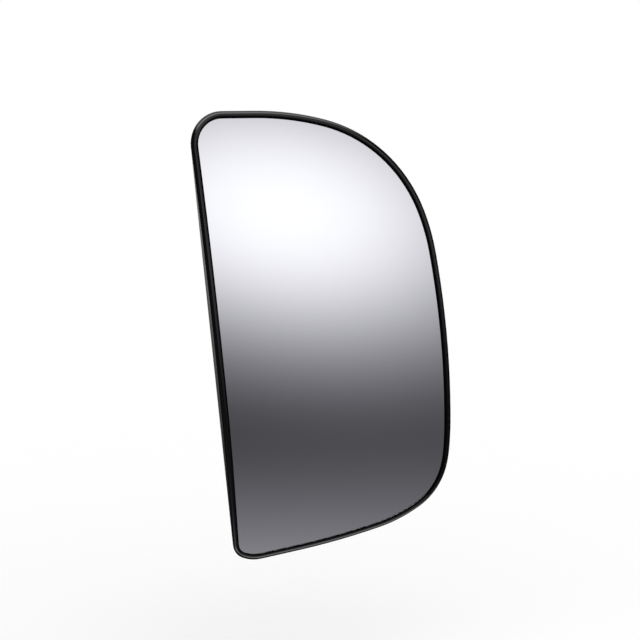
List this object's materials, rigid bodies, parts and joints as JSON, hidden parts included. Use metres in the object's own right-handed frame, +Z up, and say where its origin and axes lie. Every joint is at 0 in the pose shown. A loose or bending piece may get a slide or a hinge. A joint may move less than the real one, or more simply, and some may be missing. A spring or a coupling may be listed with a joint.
{
  "type": "car door mirror glass",
  "caption": "Tall convex right-hand door mirror glass in a black moulded frame, with a clip ring and drive sockets on its back.",
  "frame": {"origin": "on the axis of the clip ring, halfway along the straight lands of its four hooks, which the neck of the drive passes", "axes": "+Z up along the tall side of the face, +X to the right as the face is looked at, +Y out of the back along the clip ring's axis; the face looks along -Y"},
  "size_m": [0.1284, 0.017, 0.2071],
  "materials": {
    "mirror_glass": "polished",
    "adhesive_pad": "matte",
    "backing_plate": "satin"
  },
  "bodies": {
    "root": {"mirror_glass": "mirror_glass", "adhesive_pad": "adhesive_pad", "backing_plate": "backing_plate"}
  },
  "joints": []
}
